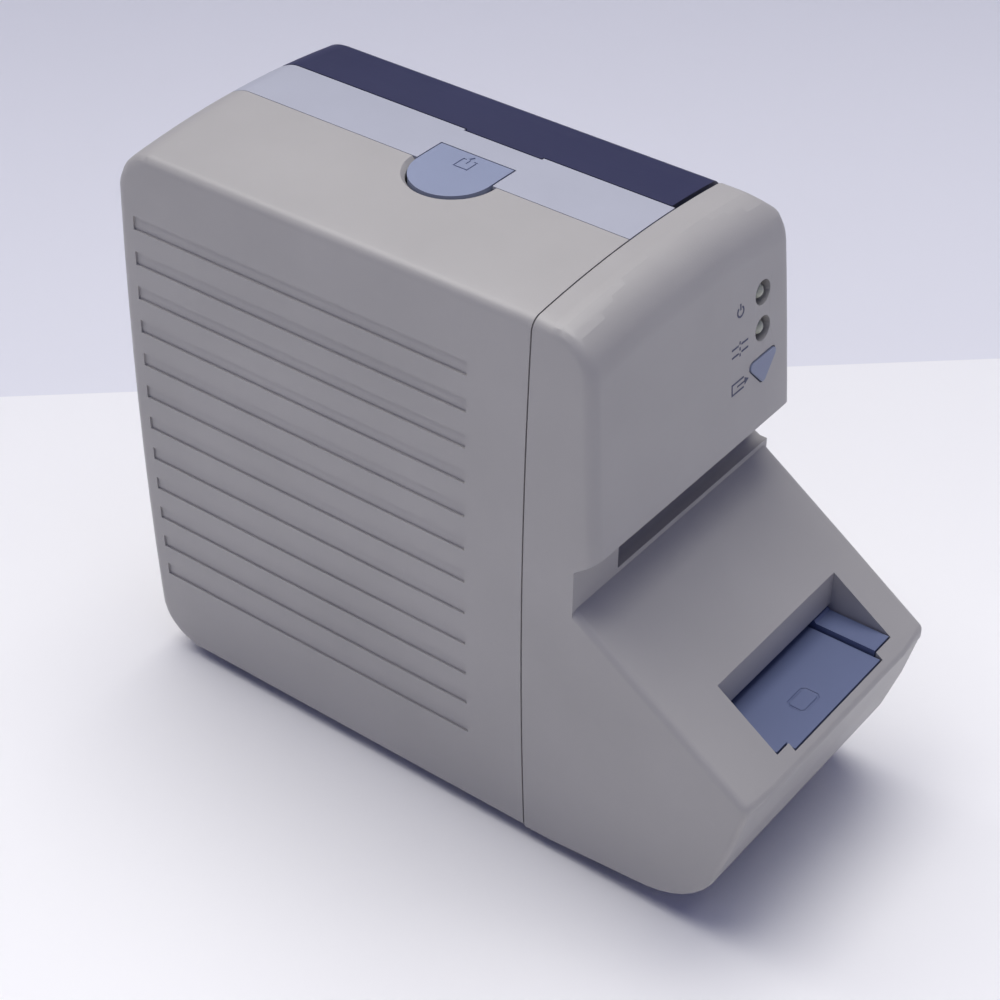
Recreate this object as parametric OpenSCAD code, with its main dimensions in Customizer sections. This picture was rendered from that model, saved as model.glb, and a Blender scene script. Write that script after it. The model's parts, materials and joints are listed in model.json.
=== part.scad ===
// Desktop label tape printer: upright slim housing, side door over a tape cartridge bay,
// motor-driven platen and cutters, and a corner trimmer in the sloping front.
// +X is the printer's right side, the front faces -Y, +Z is up. The origin is on the table
// under the middle of the overall box.

/* [Body] */
// Width across the bowed sides
body_w = 62; // [58:0.5:66]
// Height of the crown of the top above the table
body_h = 118; // [112:0.5:124]
// Depth from the nose to the back
body_d = 142; // [136:0.5:148]
// Distance from the back to the seam between the rear and the front housing
seam_from_back = 93; // [88:0.5:96]
// Height of the housing's bottom above the table
foot_gap = 2; // [1.5:0.1:3]
// How far the sides bow out between top and bottom
side_bow = 1.9; // [0.5:0.1:2.5]
// How far the top rises from its edges to its middle
top_crown = 2.3; // [0.5:0.1:3]
// Thickness of the housing walls
wall = 2; // [1.6:0.1:2.4]
// Radius of the moulded outer edges
edge_r = 2.4; // [1.5:0.1:3]
// Gap between neighbouring housing parts
gap = 0.3; // [0.2:0.05:0.5]

/* [Side grooves] */
// Number of grooves in the left side
groove_count = 12; // [6:1:14]
// Width of one groove
groove_w = 2.8; // [2:0.1:3.4]
// Depth of the grooves
groove_depth = 0.45; // [0.3:0.05:0.9]
// Height of the lowest groove
groove_low = 21.8; // [18:0.1:26]
// Height of the highest groove
groove_high = 101.9; // [98:0.1:104]

/* [Top] */
// Where the inner frame's light strip starts, seen from the front
strip_x = -2.1; // [-4:0.1:0]
// Where the door starts
door_x = 11.6; // [10:0.1:13]
// Middle of the release button along the depth
button_y = 15; // [12:0.5:18]
// Radius of the release button's round end
button_r = 8; // [7:0.1:9]

/* [Front] */
// Height of the head's lower front edge
head_z = 74.4; // [72:0.1:76]
// Depth position of the head's lower front edge
head_y = -37.3; // [-38:0.1:-36]
// How far the top of the face leans back from its lower edge
face_lean = 3.35; // [2:0.05:4]
// Radius between the top and the face
face_r = 9; // [6:0.5:10]
// Depth position of the cheek under the head
cheek_y = -32.7; // [-33:0.1:-32]
// Height where the slope leaves the cheek
slope_z = 62.1; // [61:0.1:63]
// Height of the nose
nose_z = 36.8; // [35:0.1:38]
// Bulge of the nose seen from above
nose_bulge = 1.3; // [0.5:0.1:2]
// Depth of the tape exit's back wall
exit_y = -24.2; // [-25:0.1:-24]
// Inner side of the cheek
cheek_x = -17.5; // [-18:0.1:-17]
// Diameter of the holes over the indicator lamps
lamp_hole_d = 4.8; // [4.4:0.1:5.2]
// Side length of the triangular feed button
feed_side = 8.2; // [7:0.1:9]

/* [Corner trimmer] */
// Left side of the trimmer pocket
pocket_x0 = -17.2; // [-18:0.1:-16]
// Right side of the trimmer pocket
pocket_x1 = 21.9; // [20:0.1:23]
// Back wall of the trimmer pocket
pocket_back = -54.2; // [-55:0.1:-53]
// Front end of the side rails
pocket_front = -67.2; // [-68:0.1:-66]
// Height of the side rails
rail_z = 38.8; // [38.5:0.1:39]
// Height of the press plate
plate_z = 37.7; // [37.4:0.1:38]

/* [Tape drive] */
// Radius of the platen roller
platen_r = 6; // [5.5:0.1:6.2]
// Height of the tape's path
tape_z = 66; // [65.5:0.1:66.5]
// Gear module
gear_m = 0.5; // [0.5:0.05:0.6]

/* [Door] */
// Distance of the hinge line from the middle
hinge_x = 27.9; // [27.8:0.05:28]
// Height of the hinge line
hinge_z = 7.2; // [7:0.1:7.5]

/* [Hidden] */

eps = 0.02;
back_y = body_d / 2;
nose_y = -body_d / 2;
seam_y = back_y - seam_from_back;
bow_r = (pow(body_h / 2, 2) + pow(side_bow, 2)) / (2 * side_bow);
crown_r = (pow(body_w / 2, 2) + pow(top_crown, 2)) / (2 * top_crown);
rear_top_r = 9;
rear_low_r = 10;
toe_edge_r = 1.5;
corner_cut = 2.2;
seam_gap = 0.14;

beige = "#bdb9b4";
strip_grey = "#b9bcc8";
navy = "#3f4266";
slate = "#8d97b5";
insert_blue = "#68769a";
steel = "#b8bcc2";
dark_steel = "#6d7178";
board_green = "#2f6b4a";
nylon = "#e6e2d6";
black = "#26272b";
brass = "#b49a58";
aluminium = "#c3c7cc";
ceramic = "#e9e4da";
lamp_green = "#9fb59a";
lamp_amber = "#b9b3a0";

// Gear train: shaft positions as [Y, Z], tooth counts and the two planes the gears run in
fit = 0.05;
stud_r = 1.2;
shaft_r = 1.5;
platen_shaft_r = 2;
plane_a0 = -16;
plane_a1 = -14.6;
plane_b0 = -14.4;
plane_b1 = -12.9;
plate_x0 = -12.2;
plate_x1 = -11.2;
motor_teeth = 12;
drive_big = 60;
drive_small = 16;
idle_teeth = 48;
platen_teeth = 24;
ribbon_teeth = 32;
platen_c = [-4, tape_z + platen_r + 0.2];
motor_c = [26, platen_c[1] + 10.3];
idle_c = platen_c + polar(gear_m * (platen_teeth + idle_teeth) / 2, -60);
drive_c = meet(
    motor_c, gear_m * (motor_teeth + drive_big) / 2,
    idle_c, gear_m * (drive_small + idle_teeth) / 2
);
link_c = idle_c + polar(gear_m * idle_teeth, -20);
ribbon_c = link_c + polar(gear_m * (idle_teeth + ribbon_teeth) / 2, -60);
holder_c = platen_c + polar(20.5, 30);
motor_phase = 0;
drive_phase = mesh_angle(motor_c, motor_phase, motor_teeth, drive_c, drive_big);
idle_phase = mesh_angle(drive_c, drive_phase, drive_small, idle_c, idle_teeth);
platen_phase = mesh_angle(idle_c, idle_phase, idle_teeth, platen_c, platen_teeth);
link_phase = mesh_angle(idle_c, idle_phase, idle_teeth, link_c, idle_teeth);
ribbon_phase = mesh_angle(link_c, link_phase, idle_teeth, ribbon_c, ribbon_teeth);

// Cartridge bay
bay_y0 = -11;
bay_y1 = 66;
bay_z0 = 12;
bay_z1 = 70;
floor_x0 = -9.9;
floor_x1 = -8.4;
cup = 1.5;

// Release button and the door's snap under it
button_flat = 4.5;
button_c = -2.4;
tab_y0 = 6;
tab_y1 = 22.8;
tab_step = 0.6;

// Door hinge
frame_knuckles = [[-16, -10], [54, 60]];
door_knuckles = [[-9.7, -3.7], [47.7, 53.7]];
knuckle_r = 1.9;
pin_r = 0.8;

// Boards, bosses and sockets
boss_x = -29.5;
board_x0 = -24;
board_x1 = -22.4;
board_holes = [[20, 12], [60, 12], [20, 54], [60, 54]];
plate_holes = [[50, 64], [50, 94], [-8, 96], [-7, 24]];
usb_x0 = -22.4;
usb_w = 10.9;
usb_z0 = 16;
usb_h = 12;
jack_x = -17.6;
jack_z = 40;
sensor_spots = [[-4, 30], [-4, 36], [-4, 42]];

// Tape exit under the head, and the slot in its back wall
under_z = 70.7;
ledge_z = 64.8;
slot_x0 = -7;
slot_x1 = 21;

// Lamps and feed button in the face
lamp_x = 20.4;
lamp_z1 = 101.5;
lamp_z0 = 94.3;
feed_z = 86.2;
board_depth = -8;

// Rubber feet
foot_x = [-22, 20];
foot_r = 4;
rear_foot_y = 52;
front_foot_y = -38;

// Cutter: blade pivot and crank as X positions at one height
pivot_x = -11.8;
pivot_z = tape_z;
crank_x = -20.4;
crank_r = 1.78;
crank_teeth = 30;
cutter_teeth = 10;
cut_swing = 14.4;
cutter_y = -21.6;
cutter_motor_z = pivot_z - gear_m * (crank_teeth + cutter_teeth) / 2;
fixed_posts = [[-6, 75], [20, 75]];

// Corner trimmer: its pin, press plate and punches
trim_y = -54;
trim_z = 34.4;
press_x0 = -13.5;
press_x1 = 16.6;
press_front = -68.4;
punch_y = -44;
punch_x = [-9, 12];
punch_r = 1.7;
toe_arc_c = [-47.5, 21.5];
toe_arc_r = 17.6;
toe_arc_end = 263;

// The crown reaches a little beyond the sides; crown_drop is its height there
crown_half = body_w / 2 + 2;
crown_drop = body_h - top_z(crown_half);

// Distance of the bowed side from the middle at height z
function side_x(z) = body_w / 2 - bow_r + sqrt(pow(bow_r, 2) - pow(z - body_h / 2, 2));
// Height of the crowned top at distance x from the middle
function top_z(x) = body_h - crown_r + sqrt(pow(crown_r, 2) - x * x);
// Depth position of the face at height z
function face_y(z) = head_y + face_lean * (z - head_z) / (body_h - head_z);
face_tilt = atan(face_lean / (body_h - head_z));
slope_run = cheek_y - (nose_y + nose_bulge);
slope_tan = (slope_z - nose_z) / slope_run;
// Height of the slope at depth y
function slope_at(y) = slope_z + (y - cheek_y) * slope_tan;
// A point on a circle of radius r at angle a
function polar(r, a) = [r * cos(a), r * sin(a)];
// The point at distance ra from a and rb from b, on the right-hand side of the line from a to b
function meet(a, ra, b, rb) =
    let (d = norm(b - a), along = (d * d + ra * ra - rb * rb) / (2 * d),
         off = sqrt(ra * ra - along * along), u = (b - a) / d)
    a + along * u + off * [u[1], -u[0]];
// Point at t on the smooth bend from a to c that leaves and arrives along the lines to b
function bend(a, b, c, t) = pow(1 - t, 2) * a + 2 * t * (1 - t) * b + t * t * c;
// Direction from a to b in degrees
function heading(a, b) = atan2(b[1] - a[1], b[0] - a[0]);
// Tooth angle of a gear with tb teeth at b that meshes with one of ta teeth at a
function mesh_angle(a, phase_a, ta, b, tb) =
    let (h = heading(a, b)) h + 180 + 180 / tb + (h - phase_a) * ta / tb;

// ---------- helpers that place flat outlines ----------

// Outline in X and Z, extruded along Y from y0 to y1
module along_y(y0, y1) {
    translate([0, y1, 0]) rotate([90, 0, 0]) linear_extrude(y1 - y0) children();
}

// Outline in Y and Z, extruded along X from x0 to x1
module along_x(x0, x1) {
    translate([x0, 0, 0]) rotate([90, 0, 90]) linear_extrude(x1 - x0) children();
}

// Box from its lowest to its highest corner
module box(a, b) {
    translate(a) cube(b - a);
}

// Rod along X
module rod_x(x0, x1, y, z, r) {
    translate([x0, y, z]) rotate([0, 90, 0]) cylinder(h = x1 - x0, r = r, $fn = 48);
}

// Rod along Y
module rod_y(y0, y1, x, z, r) {
    translate([x, y0, z]) rotate([-90, 0, 0]) cylinder(h = y1 - y0, r = r, $fn = 48);
}

// Hole of radius r along X through everything at p, given as [Y, Z]
module bore_x(p, r) {
    rod_x(-40, 40, p[0], p[1], r);
}

// Places children on the face: local X to the right, local Y up the face, local Z outwards
module on_face(x, z) {
    translate([x, face_y(z), z]) rotate([90 - face_tilt, 0, 0]) children();
}

// ---------- outer shape ----------

// Cross-section of the body, inset on all sides, with n steps along each bowed side
module section(inset, n = 24) {
    z0 = foot_gap + inset;
    z1 = top_z(body_w / 2 - side_bow) - inset;
    x1 = side_x(z1) - inset;
    polygon(concat(
        [for (i = [0:n]) let (z = z0 + i * (z1 - z0) / n) [inset - side_x(z), z]],
        [for (i = [1:n - 1]) let (x = -x1 + i * (2 * x1 - corner_cut) / n) [x, top_z(x) - inset]],
        [[x1 - corner_cut, top_z(x1 - corner_cut) - inset]],
        // the right-hand top edge is rounder than the left
        [for (i = [0:n]) let (z = z1 - corner_cut - i * (z1 - corner_cut - z0) / n) [side_x(z) - inset, z]]
    ));
}

// Front view of the bowed sides alone, open above the crown
module sides(inset, n = 10) {
    above = 4;
    z0 = foot_gap + inset;
    z1 = top_z(body_w / 2 - side_bow) - inset;
    x1 = side_x(z1) - inset;
    polygon(concat(
        [for (i = [0:n]) let (z = z0 + i * (z1 + above - z0) / n) [inset - side_x(z), z]],
        [[x1 - corner_cut - above, z1 + above]],
        [for (i = [0:n]) let (z = z1 - corner_cut - i * (z1 - corner_cut - z0) / n) [side_x(z) - inset, z]]
    ));
}

// Side view, given lowered by crown_drop, carried across the body so that its top follows the crown
module crowned(n = 16) {
    minkowski() {
        along_x(-eps, eps) children();
        along_y(-eps, eps) polygon([
            for (i = [0:n]) let (x = crown_half * (2 * i / n - 1)) [x, top_z(x) - top_z(crown_half)]
        ]);
    }
}

// Body between the bowed sides, up to y1, from a side view lowered by crown_drop
module crowned_body(inset, y1) {
    intersection() {
        along_y(-60, y1) sides(inset);
        crowned() children();
    }
}

// Cuts away everything outside a rounded corner of radius r at p, which lies towards d
module corner(p, r, d) {
    difference() {
        translate(p - [d[0] > 0 ? r : 0, d[1] > 0 ? r : 0]) square(r);
        translate(p - [d[0] * r, d[1] * r]) circle(r = r, $fn = 96);
    }
}

// Side view of the upright body, inset on all sides and lowered by crown_drop
module rear_profile(inset) {
    z0 = foot_gap + inset;
    z1 = body_h - crown_drop - inset;
    y1 = back_y - inset;
    difference() {
        translate([-60, z0]) square([y1 + 60, z1 - z0]);
        translate([eps, eps]) corner([y1, z1], rear_top_r - inset, [1, 1]);
        translate([eps, -eps]) corner([y1, z0], rear_low_r - inset, [1, -1]);
    }
}

// Side view of the head, longer at its lower end than the finished head
module head_profile() {
    turn = 90 - face_tilt;
    reach = face_r * tan(turn / 2);
    arc_y = face_y(body_h) + reach;
    low_z = head_z - 12;
    polygon(concat(
        [[-8, body_h]],
        [for (i = [0:8]) [arc_y, body_h - face_r] + polar(face_r, 90 + turn * i / 8)],
        [[face_y(low_z), low_z], [-8, low_z]]
    ));
}

// Side view of the toe: slope, nose, undercut and rounded lower front
module toe_profile() {
    toe_front = toe_arc_c + polar(toe_arc_r, toe_arc_end - 63);
    polygon(concat(
        [[-8, slope_at(-8)], [nose_y + eps, nose_z - 0.8]],
        [for (i = [0:1]) bend([nose_y + 1.6, nose_z - 2.6], [nose_y + 3.4, 25.3], toe_front, i / 2)],
        [for (i = [0:7]) toe_arc_c + polar(toe_arc_r, toe_arc_end - 63 + i * 9)],
        [[-28, foot_gap + 0.2], [-8, foot_gap]]
    ));
}

// The whole upright body with rounded edges, from beyond the seam to the back
module rear_solid() {
    minkowski() {
        crowned_body(edge_r, back_y) rear_profile(edge_r);
        sphere(r = edge_r, $fn = 16);
    }
}

// The head with rounded edges
module head_solid() {
    minkowski() {
        crowned_body(edge_r, -5) translate([0, -crown_drop]) offset(delta = -edge_r) head_profile();
        sphere(r = edge_r, $fn = 16);
    }
}

// The toe with rounded edges and a nose that bulges when seen from above
module toe_solid() {
    plan_r = (pow(29, 2) + pow(nose_bulge, 2)) / (2 * nose_bulge);
    minkowski() {
        intersection() {
            along_y(nose_y, -5) section(toe_edge_r, 10);
            along_x(-40, 40) offset(delta = -toe_edge_r) toe_profile();
            linear_extrude(body_h)
                translate([0, nose_y + toe_edge_r + plan_r]) circle(r = plan_r, $fn = 480);
        }
        sphere(r = toe_edge_r, $fn = 16);
    }
}

// Inner space of the upright body
module rear_space(inset) {
    crowned_body(inset, back_y) rear_profile(inset);
}

// One slice of a body between two X positions, behind the seam
module slice(x0, x1) {
    intersection() {
        children();
        box([x0, seam_y + gap / 2, -1], [x1, back_y + 1, body_h + 1]);
    }
}

// Spur gear outline on the XY plane
module gear_outline(teeth, bore) {
    r = gear_m * teeth / 2;
    tip = r + 0.9 * gear_m;
    root = r - 1.15 * gear_m;
    half = 90 / teeth;
    difference() {
        union() {
            circle(r = root, $fn = 96);
            for (i = [0:teeth - 1]) rotate(i * 360 / teeth) polygon([
                polar(root - 0.2, -1.15 * half), polar(r, -0.78 * half), polar(tip, -0.34 * half),
                polar(tip, 0.34 * half), polar(r, 0.78 * half), polar(root - 0.2, 1.15 * half)
            ]);
        }
        circle(r = bore, $fn = 48);
    }
}

// Gear on an axis along X; angle 0 points to +Y
module gear_x(x0, x1, p, teeth, bore, phase) {
    translate([x0, p[0], p[1]]) rotate([90, 0, 90]) linear_extrude(x1 - x0)
        rotate(phase) gear_outline(teeth, bore);
}

// ---------- housing parts ----------

// Outline of the release button, grown by g
module button_outline(g) {
    r = button_r + g;
    translate([button_c, button_y]) polygon(concat(
        [for (a = [90:5:270]) polar(r, a)],
        [[button_flat - button_c + g, -r], [button_flat - button_c + g, r]]
    ));
}

module rear_housing() {
    color(beige) difference() {
        union() {
            difference() {
                slice(-40, strip_x - seam_gap / 2) rear_solid();
                rear_space(wall);
            }
            // bosses for the board and the chassis plate
            for (p = board_holes) difference() {
                rod_x(boss_x, board_x0 - 0.05, p[0], p[1], 2.2);
                rod_x(-28.2, board_x0 + 1, p[0], p[1], 1);
            }
            for (p = plate_holes) difference() {
                rod_x(boss_x, plate_x0 - 0.05, p[0], p[1], 2.6);
                rod_x(-24, plate_x0 + 1, p[0], p[1], 1.1);
            }
        }
        for (i = [0:groove_count - 1]) {
            z = groove_low + i * (groove_high - groove_low) / (groove_count - 1);
            g_y0 = -9.4;
            g_y1 = 66.8;
            difference() {
                box([-40, g_y0, z - groove_w / 2], [-20, g_y1, z + groove_w / 2]);
                along_y(g_y0 - 1, g_y1 + 1) section(groove_depth);
            }
        }
        translate([0, 0, body_h - 12]) linear_extrude(20) button_outline(0.4);
        // chamfer around the button's round end
        translate([button_c, button_y, top_z(button_r) - 1.6])
            cylinder(h = 2.4, r1 = button_r - 0.4, r2 = button_r + 2, $fn = 96);
        port_cuts();
    }
}

// Cuts in the back of the rear housing for the two sockets
module port_cuts() {
    box([usb_x0 - 0.3, 60, usb_z0 - 0.3], [usb_x0 + usb_w + 0.3, 80, usb_z0 + usb_h + 0.3]);
    rod_y(60, 80, jack_x, jack_z, 4.3);
}

// Walls around the pocket of the trimmer: at the back above its slot, and on both sides
module pocket_walls() {
    t = 1.6;
    box([pocket_x0 - t, pocket_back, 40.1], [pocket_x1 + t, pocket_back + t, slope_at(pocket_back) - 0.6]);
    for (x = [pocket_x0 - t, pocket_x1]) along_x(x, x + t) polygon([
        [pocket_front - 0.4, 33], [pocket_front - 0.4, slope_at(pocket_front) - 0.6],
        [pocket_back + t, slope_at(pocket_back + t) - 0.6], [pocket_back + t, 33]
    ]);
}

// Side view of the open tape exit under the head; its floor bends smoothly into the slope
function exit_profile() =
    let (n = 8, turn = atan(slope_tan) - 4.4, r = 12, y = exit_y - 0.97)
    concat(
        [[-60, ledge_z - r * (1 - cos(turn))]],
        [for (i = [n:-1:0]) [y - r * sin(turn * i / n), ledge_z - r * (1 - cos(turn * i / n))]],
        [[exit_y, ledge_z], [exit_y, under_z], [cheek_y, under_z], [head_y, head_z]],
        [[-50, head_z + 10.4], [-60, head_z + 10.4]]
    );

module front_housing() {
    color(beige) difference() {
        union() {
            difference() {
                intersection() {
                    union() {
                        difference() {
                            head_solid();
                            along_x(-50, 50) polygon([
                                [-50, head_z + 10.4], [head_y, head_z], [cheek_y, under_z],
                                [cheek_y, 50], [-50, 50]
                            ]);
                        }
                        intersection() {
                            rear_solid();
                            box([-40, cheek_y, 45], [40, -5, head_z + 2]);
                        }
                        toe_solid();
                    }
                    box([-50, -80, -1], [50, seam_y - gap / 2, 130]);
                }
                along_x(cheek_x, 50) polygon(exit_profile());
                head_space();
                toe_space();
                box([-27.5, cheek_y + 1.8, 55], [cheek_x - 1.9, -10, 74]);
            }
            pocket_walls();
        }
        box([slot_x0, exit_y - 1, ledge_z], [slot_x1, seam_y + 1, 69.8]);
        // pocket for the corner trimmer
        along_x(pocket_x0, pocket_x1) polygon([
            [pocket_front, 34.5], [pocket_front, 60], [pocket_back, 60], [pocket_back, 30], [-64, 30]
        ]);
        box([press_x0, press_front - 0.3, 34.4], [press_x1, pocket_front + 1, 60]);
        on_face(lamp_x, lamp_z1) translate([0, 0, -4]) cylinder(h = 8, d = lamp_hole_d, $fn = 48);
        on_face(lamp_x, lamp_z0) translate([0, 0, -4]) cylinder(h = 8, d = lamp_hole_d, $fn = 48);
        on_face(lamp_x, feed_z) translate([0, 0, -4]) linear_extrude(8) feed_outline(0.25);
    }
}

// Rounded triangle of the feed button, point down, grown by g
module feed_outline(g) {
    r = 0.9;
    s = feed_side / 2 - r;
    h = s * 1.1;
    offset(delta = g) hull() {
        for (p = [[-s, h / 2], [s, h / 2], [0, -h / 2]]) translate(p) circle(r = r, $fn = 24);
    }
}

// Space inside the head
module head_space() {
    intersection() {
        along_y(-60, -10) section(wall);
        along_x(-40, 40) polygon([
            [-10, 72.6], [-31.4, 72.6], [-34.9, 75.6], [-32.5, 109.5], [-29.8, 113.4],
            [-25.5, 115.8], [-21, 117], [-10, 117]
        ]);
    }
}

// Space inside the toe
module toe_space() {
    plan_r = (pow(29, 2) + pow(nose_bulge, 2)) / (2 * nose_bulge);
    intersection() {
        along_y(-80, -10) section(wall);
        along_x(-40, 40) offset(delta = -wall) toe_profile();
        box([-40, -80, 0], [40, -10, ledge_z - wall]);
        linear_extrude(body_h) translate([0, nose_y + wall + plan_r]) circle(r = plan_r, $fn = 480);
    }
}

module bay_frame() {
    color(strip_grey) {
        // light strip around the body, and the bottom rail under the door
        difference() {
            union() {
                slice(strip_x + seam_gap / 2, door_x - gap / 2) rear_solid();
                intersection() {
                    slice(door_x - gap, 40) rear_solid();
                    box([0, -30, 0], [29.4, 80, 4.6]);
                }
            }
            rear_space(wall);
            linear_extrude(130) button_outline(0.3);
            // step that takes the door's wider edge beside the button
            box([door_x - gap / 2 - tab_step, tab_y0 - gap, 115.9], [door_x + 1, tab_y1 + gap, 130]);
        }
        // ribs that carry the cartridge cup
        for (y = [0, 30, 60])
            box([strip_x + 0.5, y, foot_gap + 1.5], [door_x - 0.5, y + 1.5, bay_z0 - cup]);
        box([strip_x + 0.5, 50, bay_z1 + cup], [door_x - 0.5, 51.5, 116.3]);
        // seat of the release button's spring
        for (y = [4, 25]) box([strip_x + 0.5, y, 99], [door_x - 0.5, y + 1.5, 116.3]);
        box([-8, 4, 99], [door_x - 0.5, 26.5, 100.5]);
        knuckles(frame_knuckles);
    }
}

// Cup that holds the tape cartridge, open towards the door
module cartridge_cup() {
    color(strip_grey) difference() {
        box([floor_x0, bay_y0 - cup, bay_z0 - cup], [door_x - gap, bay_y1 + cup, bay_z1 + cup]);
        box([floor_x1, bay_y0, bay_z0], [door_x + 1, bay_y1, bay_z1]);
        // corner left open for the platen and the tape, and a notch for the print head's foot
        box([floor_x0 - 1, bay_y0 - 3, 58], [door_x + 1, 13, bay_z1 + 3]);
        box([floor_x0 - 1, -8.4, 49.6], [floor_x1 + 1, 0.4, 59]);
        bore_x(ribbon_c, 3.2);
        for (p = sensor_spots) bore_x(p, 1.6);
        // window for the cartridge's catch
        box([floor_x0 - 1, 56, 24], [floor_x1 + 1, 62, 40]);
    }
}

// Hinge knuckles over the given spans of Y, with a foot down to the bottom rail
module knuckles(spans) {
    for (s = spans) difference() {
        union() {
            rod_y(s[0], s[1], hinge_x, hinge_z, knuckle_r);
            box([hinge_x - knuckle_r, s[0], 4.2], [hinge_x + 0.9, s[1], hinge_z]);
        }
        rod_y(s[0] - 1, s[1] + 1, hinge_x, hinge_z, pin_r);
    }
}

module door() {
    color(navy) {
        difference() {
            intersection() {
                rear_solid();
                union() {
                    box([door_x + gap / 2, seam_y + 0.9, hinge_z + 0.1], [40, 80, 130]);
                    // edge that is wider beside the release button
                    box([door_x + gap / 2 - tab_step, tab_y0, 116.2], [door_x + 1, tab_y1, 130]);
                }
            }
            rear_space(wall);
            for (s = frame_knuckles)
                box([hinge_x - 3, s[0] - 0.3, 0], [40, s[1] + 0.3, hinge_z + knuckle_r + 0.4]);
            for (s = door_knuckles) rod_y(s[0], s[1], hinge_x, hinge_z, pin_r + fit);
        }
        // snap lug behind the wider edge
        box([door_x + 0.6, 8, 106], [door_x + 2.4, 21, 116.4]);
        for (s = door_knuckles) difference() {
            rod_y(s[0], s[1], hinge_x, hinge_z, knuckle_r);
            rod_y(s[0] - 1, s[1] + 1, hinge_x, hinge_z, pin_r + fit);
        }
    }
}

module hinge_pins() {
    color(steel) for (s = [[-15.5, -4], [48, 59.5]]) rod_y(s[0], s[1], hinge_x, hinge_z, pin_r);
}

module release_button() {
    color(slate) difference() {
        union() {
            intersection() {
                translate([0, 0, 111]) linear_extrude(20) button_outline(0);
                rear_space(0);
            }
            translate([-2, button_y, 104]) cylinder(h = 8, r = 1.5, $fn = 48);
        }
        translate([1, button_y, body_h - 0.25]) button_mark();
    }
}

// Plain mark in the top of the button: a box with an arrow out of it
module button_mark() {
    linear_extrude(2) {
        difference() {
            square([3.2, 3.2], center = true);
            square([2.7, 2.7], center = true);
            translate([1.5, 0]) square([1, 1.6], center = true);
        }
        translate([0.2, -0.12]) square([1.8, 0.24]);
        polygon([[1.8, -0.7], [2.9, 0], [1.8, 0.7]]);
    }
}

// Round-wire coil on the Z axis
module coil(z0, z1, r, wire, turns) {
    translate([0, 0, z0 + wire]) linear_extrude(z1 - z0 - 2 * wire, twist = -360 * turns, slices = 16 * turns)
        translate([r, 0]) circle(r = wire, $fn = 8);
    for (z = [z0, z1 - wire]) translate([0, 0, z]) difference() {
        cylinder(h = wire, r = r + wire, $fn = 48);
        translate([0, 0, -1]) cylinder(h = wire + 2, r = r - wire, $fn = 48);
    }
}

module release_spring() {
    color(steel) translate([-2, button_y, 0]) coil(100.55, 110.95, 2.4, 0.35, 7);
}

module rubber_feet() {
    low = toe_arc_c + polar(toe_arc_r, toe_arc_end);
    color(black) for (x = foot_x) {
        translate([x, rear_foot_y, 0]) cylinder(h = foot_gap - 0.05, r = foot_r, $fn = 48);
        // the front feet follow the slightly rising underside of the toe
        difference() {
            translate([x, front_foot_y, 0]) cylinder(h = foot_gap + 3, r = foot_r, $fn = 48);
            along_x(-40, 40) polygon([
                [-28, foot_gap + 0.15], low - [0, 0.05], low + [0, 20], [-28, 20]
            ]);
        }
    }
}

module housing_screws() {
    // screws that hold the chassis plate on its bosses
    color(dark_steel) for (p = plate_holes) {
        rod_x(plate_x1, plate_x1 + 1, p[0], p[1], 1.9);
        rod_x(-22, plate_x1 + eps, p[0], p[1], 1);
    }
}

module board_screws() {
    color(dark_steel) for (p = board_holes) {
        rod_x(board_x1, board_x1 + 1.2, p[0], p[1], 1.9);
        rod_x(-27.3, board_x1 + eps, p[0], p[1], 0.9);
    }
}

module chassis_plate() {
    color(steel) difference() {
        union() {
            box([plate_x0, -12, 18], [plate_x1, 54, 101]);
            // flanges that carry the cutter
            for (z = [[19, 46], [80, 96]]) box([plate_x0, -20.4, z[0]], [plate_x1, -11.9, z[1]]);
        }
        for (p = plate_holes) bore_x(p, 1.05);
        for (p = [idle_c, drive_c, link_c]) bore_x(p, stud_r);
        bore_x(ribbon_c, 2.5);
        bore_x(motor_c, 4.5);
        bore_x(holder_c, shaft_r);
        // room for the platen shaft to swing
        bore_x(platen_c, 3.2);
        bore_x(platen_c + [-1.4, 2.6], 3.2);
        box([-20, -2, 82], [0, 4, 92]);
        for (p = sensor_spots) bore_x(p, 1.6);
    }
}

module gear_posts() {
    color(dark_steel) {
        rod_x(plane_b0 + 0.1, plate_x1, idle_c[0], idle_c[1], stud_r);
        rod_x(plane_a0 - 0.4, plate_x1, drive_c[0], drive_c[1], stud_r);
        rod_x(plane_b0 - 0.4, plate_x1, link_c[0], link_c[1], stud_r);
    }
}

// Bearing block on the bay's floor for the ribbon spindle
module spindle_bearing() {
    color(nylon) difference() {
        rod_x(plate_x1, floor_x1, ribbon_c[0], ribbon_c[1], 2.8);
        bore_x(ribbon_c, shaft_r + fit);
    }
}

module ribbon_spindle() {
    color(nylon) {
        rod_x(plane_b0 - 0.4, 6, ribbon_c[0], ribbon_c[1], shaft_r);
        for (a = [0, 60, 120]) translate([floor_x1 + 0.6, ribbon_c[0], ribbon_c[1]])
            rotate([a, 0, 0]) translate([0, -2.6, -0.4]) cube([12, 5.2, 0.8]);
    }
}

module ribbon_gear() {
    color(nylon) gear_x(plane_b0, plane_b1, ribbon_c, ribbon_teeth, shaft_r + 0.01, ribbon_phase);
}

module link_gear() {
    color(nylon) gear_x(plane_b0, plane_b1, link_c, idle_teeth, stud_r + fit, link_phase);
}

module idler_gear() {
    color(nylon) gear_x(plane_b0, plane_b1, idle_c, idle_teeth, stud_r + fit, idle_phase);
}

module reduction_gear() {
    color(nylon) {
        gear_x(plane_a0, plane_a1, drive_c, drive_big, stud_r + fit, drive_phase);
        gear_x(plane_a1 - eps, plane_b1, drive_c, drive_small, stud_r + fit, drive_phase);
    }
}

module motor_pinion() {
    color(brass) gear_x(plane_a0, plane_a1, motor_c, motor_teeth, 1, motor_phase);
}

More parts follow.
